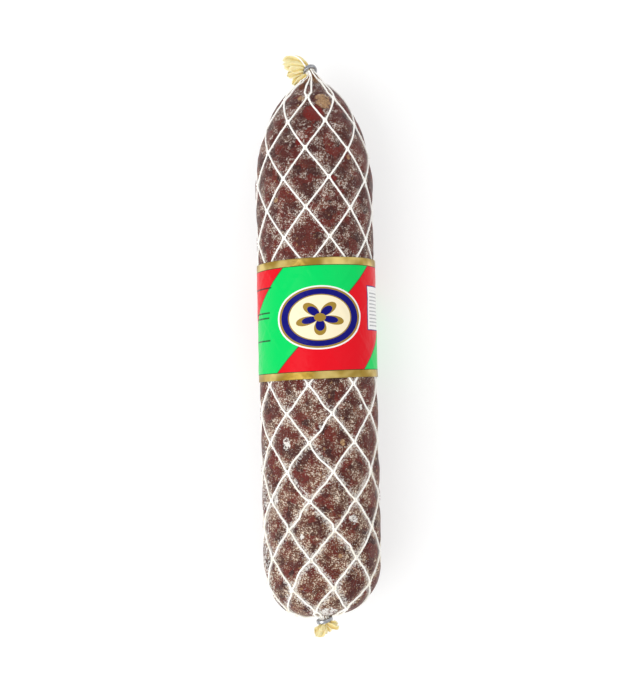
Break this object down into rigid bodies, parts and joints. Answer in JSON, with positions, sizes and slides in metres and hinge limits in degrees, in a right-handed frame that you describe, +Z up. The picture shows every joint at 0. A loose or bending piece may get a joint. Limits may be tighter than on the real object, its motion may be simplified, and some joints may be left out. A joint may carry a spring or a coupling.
{
  "type": "netted dry-cured sausage",
  "caption": "Large dry-cured sausage lying on its side: netted casing with one blunt and one tapered end, a paper label band round the girth, and a metal clip on each gathered neck.",
  "frame": {"origin": "on the surface it lies on, under the middle of its box", "axes": "+Y along the sausage towards its tapered end, +Z up, +X across to the right"},
  "size_m": [0.0786, 0.384, 0.0773],
  "materials": {
    "cured_meat": "satin",
    "casing_film": "satin",
    "cotton_net": "matte",
    "label_paper": "gloss",
    "clip_aluminium": "polished"
  },
  "bodies": {
    "root": {"meat_filling": "cured_meat", "casing": "casing_film", "netting": "cotton_net", "label_band": "label_paper", "top_clip": "clip_aluminium", "bottom_clip": "clip_aluminium"}
  },
  "joints": []
}
